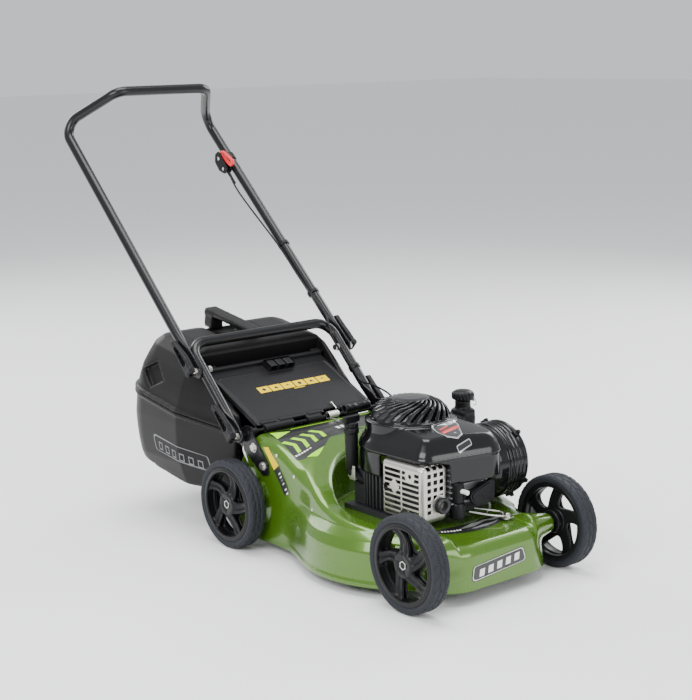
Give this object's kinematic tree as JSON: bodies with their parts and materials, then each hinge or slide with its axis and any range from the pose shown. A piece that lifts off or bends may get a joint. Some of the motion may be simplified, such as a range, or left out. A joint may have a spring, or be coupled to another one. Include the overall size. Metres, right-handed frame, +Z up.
{
  "type": "rotary lawn mower",
  "caption": "Petrol push mower with a pressed-steel deck, swing-back blades under it, a folding tube handle and a hinged rear flap over a removable moulded grass catcher.",
  "frame": {"origin": "on the ground, under the middle of the mower's bounding box", "axes": "+Y points back from the nose to the operator, +X to the operator's left hand seen from the nose, +Z up"},
  "size_m": [0.492, 1.3595, 1.01],
  "materials": {
    "deck_paint": "gloss",
    "black_paint": "gloss",
    "black_plastic": "satin",
    "shroud_plastic": "gloss",
    "flap_plastic": "satin",
    "wheel_plastic": "satin",
    "rubber": "matte",
    "zinc_steel": "satin",
    "dark_steel": "satin",
    "cast_alloy": "matte",
    "guard_alloy": "satin",
    "red_plastic": "gloss",
    "filter_paper": "matte",
    "ceramic": "gloss"
  },
  "bodies": {
    "chassis": {"deck": "deck_paint", "front_axle_bosses": "deck_paint", "rear_axle_plates": "black_paint", "axle_bolts": "zinc_steel", "handle_brackets": "black_paint", "bracket_bolts": "zinc_steel", "flap_hinge_rod": "zinc_steel", "flap_spring": "zinc_steel", "engine_base": "dark_steel", "cylinder_block": "cast_alloy", "blower_housing": "shroud_plastic", "starter_cover": "black_plastic", "muffler": "dark_steel", "muffler_guard": "guard_alloy", "air_filter_base": "shroud_plastic", "air_filter_element": "filter_paper", "carburettor": "cast_alloy", "carburettor_cover": "black_plastic", "fuel_tank": "black_plastic", "oil_filler_tube": "black_plastic", "engine_bolts": "zinc_steel", "spark_plug": "ceramic", "throttle_cable_lower": "black_plastic"},
    "crank": {"crankshaft": "zinc_steel", "flywheel": "cast_alloy", "blade_disc": "dark_steel", "blade_bolts": "zinc_steel"},
    "swing_blade_1": {"swing_blade_1": "zinc_steel"},
    "swing_blade_2": {"swing_blade_2": "zinc_steel"},
    "swing_blade_3": {"swing_blade_3": "zinc_steel"},
    "swing_blade_4": {"swing_blade_4": "zinc_steel"},
    "wheel_front_right": {"tyre_front_right": "rubber", "rim_front_right": "wheel_plastic"},
    "wheel_front_left": {"tyre_front_left": "rubber", "rim_front_left": "wheel_plastic"},
    "wheel_rear_right": {"tyre_rear_right": "rubber", "rim_rear_right": "wheel_plastic"},
    "wheel_rear_left": {"tyre_rear_left": "rubber", "rim_rear_left": "wheel_plastic"},
    "lower_handle": {"lower_handle": "black_paint", "handle_pivot_bolts": "zinc_steel"},
    "upper_handle": {"upper_handle": "black_paint", "throttle_housing": "black_plastic", "throttle_cable_upper": "black_plastic"},
    "lower_cam_lever_right": {"lower_cam_lever_right": "black_plastic"},
    "lower_cam_lever_left": {"lower_cam_lever_left": "black_plastic"},
    "upper_cam_lever_right": {"upper_cam_lever_right": "black_plastic"},
    "upper_cam_lever_left": {"upper_cam_lever_left": "black_plastic"},
    "throttle_lever": {"throttle_lever": "red_plastic"},
    "flap": {"flap": "flap_plastic", "flap_rod": "zinc_steel"},
    "catcher": {"catcher_top": "black_plastic", "catcher_base": "black_plastic"},
    "starter_grip": {"starter_grip": "black_plastic"},
    "starter_pulley": {"starter_pulley": "black_plastic"},
    "fuel_cap": {"fuel_cap": "black_plastic"},
    "dipstick": {"dipstick": "black_plastic"},
    "air_filter_cover": {"air_filter_cover": "shroud_plastic"}
  },
  "joints": [
    {"name": "crank_spin", "type": "hinge", "parent": "chassis", "child": "crank", "pos_m": [0, -0.35181, 0.1], "axis": [0, 0, 1], "continuous": true},
    {"name": "swing_blade_1_swing", "type": "hinge", "parent": "crank", "child": "swing_blade_1", "pos_m": [0.15, -0.35181, 0.036], "axis": [0, 0, 1], "continuous": true},
    {"name": "swing_blade_2_swing", "type": "hinge", "parent": "crank", "child": "swing_blade_2", "pos_m": [0, -0.20181, 0.036], "axis": [0, 0, 1], "continuous": true},
    {"name": "swing_blade_3_swing", "type": "hinge", "parent": "crank", "child": "swing_blade_3", "pos_m": [-0.15, -0.35181, 0.036], "axis": [0, 0, 1], "continuous": true},
    {"name": "swing_blade_4_swing", "type": "hinge", "parent": "crank", "child": "swing_blade_4", "pos_m": [0, -0.50181, 0.036], "axis": [0, 0, 1], "continuous": true},
    {"name": "wheel_front_right_roll", "type": "hinge", "parent": "chassis", "child": "wheel_front_right", "pos_m": [-0.211, -0.57981, 0.1], "axis": [1, 0, 0], "continuous": true},
    {"name": "wheel_front_left_roll", "type": "hinge", "parent": "chassis", "child": "wheel_front_left", "pos_m": [0.211, -0.57981, 0.1], "axis": [1, 0, 0], "continuous": true},
    {"name": "wheel_rear_right_roll", "type": "hinge", "parent": "chassis", "child": "wheel_rear_right", "pos_m": [-0.225, -0.00481, 0.1], "axis": [1, 0, 0], "continuous": true},
    {"name": "wheel_rear_left_roll", "type": "hinge", "parent": "chassis", "child": "wheel_rear_left", "pos_m": [0.225, -0.00481, 0.1], "axis": [1, 0, 0], "continuous": true},
    {"name": "lower_handle_pivot", "type": "hinge", "parent": "chassis", "child": "lower_handle", "pos_m": [0, -0.00781, 0.25], "axis": [1, 0, 0], "range_deg": [0, 12]},
    {"name": "upper_handle_fold", "type": "hinge", "parent": "lower_handle", "child": "upper_handle", "pos_m": [0, 0.12519, 0.38], "axis": [1, 0, 0], "range_deg": [0, 115]},
    {"name": "lower_cam_lever_right_throw", "type": "hinge", "parent": "lower_handle", "child": "lower_cam_lever_right", "pos_m": [-0.2245, -0.00781, 0.25], "axis": [0, -0.7033, 0.7109], "range_deg": [0, 95]},
    {"name": "lower_cam_lever_left_throw", "type": "hinge", "parent": "lower_handle", "child": "lower_cam_lever_left", "pos_m": [0.2245, -0.00781, 0.25], "axis": [0, 0.7033, -0.7109], "range_deg": [0, 95]},
    {"name": "upper_cam_lever_right_throw", "type": "hinge", "parent": "upper_handle", "child": "upper_cam_lever_right", "pos_m": [-0.2385, 0.12519, 0.38], "axis": [0, -0.6876, 0.7261], "range_deg": [0, 95]},
    {"name": "upper_cam_lever_left_throw", "type": "hinge", "parent": "upper_handle", "child": "upper_cam_lever_left", "pos_m": [0.2385, 0.12519, 0.38], "axis": [0, 0.6876, -0.7261], "range_deg": [0, 95]},
    {"name": "throttle_turn", "type": "hinge", "parent": "upper_handle", "child": "throttle_lever", "pos_m": [0.1942, 0.5942, 0.81447], "axis": [-1, 0, 0], "range_deg": [0, 45]},
    {"name": "flap_lift", "type": "hinge", "parent": "chassis", "child": "flap", "pos_m": [0, -0.03181, 0.262], "axis": [1, 0, 0], "range_deg": [0, 60], "deforming": ["flap_spring"]},
    {"name": "catcher_off", "type": "slide", "parent": "chassis", "child": "catcher", "axis": [0, 1, 0], "range_m": [0, 0.5]},
    {"name": "starter_pull", "type": "slide", "parent": "chassis", "child": "starter_grip", "axis": [0, 0.8, 0.6], "range_m": [0, 0.6], "stiffness_N_per_m": 5, "springref_m": -0.2},
    {"name": "starter_pulley_turn", "type": "hinge", "parent": "chassis", "child": "starter_pulley", "pos_m": [0, -0.35181, 0.33], "axis": [0, 0, 1], "range_deg": [0, 910]},
    {"name": "fuel_cap_turn", "type": "hinge", "parent": "chassis", "child": "fuel_cap", "pos_m": [0.174, -0.33181, 0.33], "axis": [0, 0, 1], "range_deg": [0, 120]},
    {"name": "dipstick_pull", "type": "slide", "parent": "chassis", "child": "dipstick", "axis": [0, 0, 1], "range_m": [0, 0.15]},
    {"name": "air_filter_cover_off", "type": "slide", "parent": "chassis", "child": "air_filter_cover", "axis": [1, 0, 0], "range_m": [0, 0.06]}
  ],
  "couplings": [
    {"joint": "starter_pulley_turn", "follows": "starter_pull", "rad_per_m": 26.316}
  ]
}
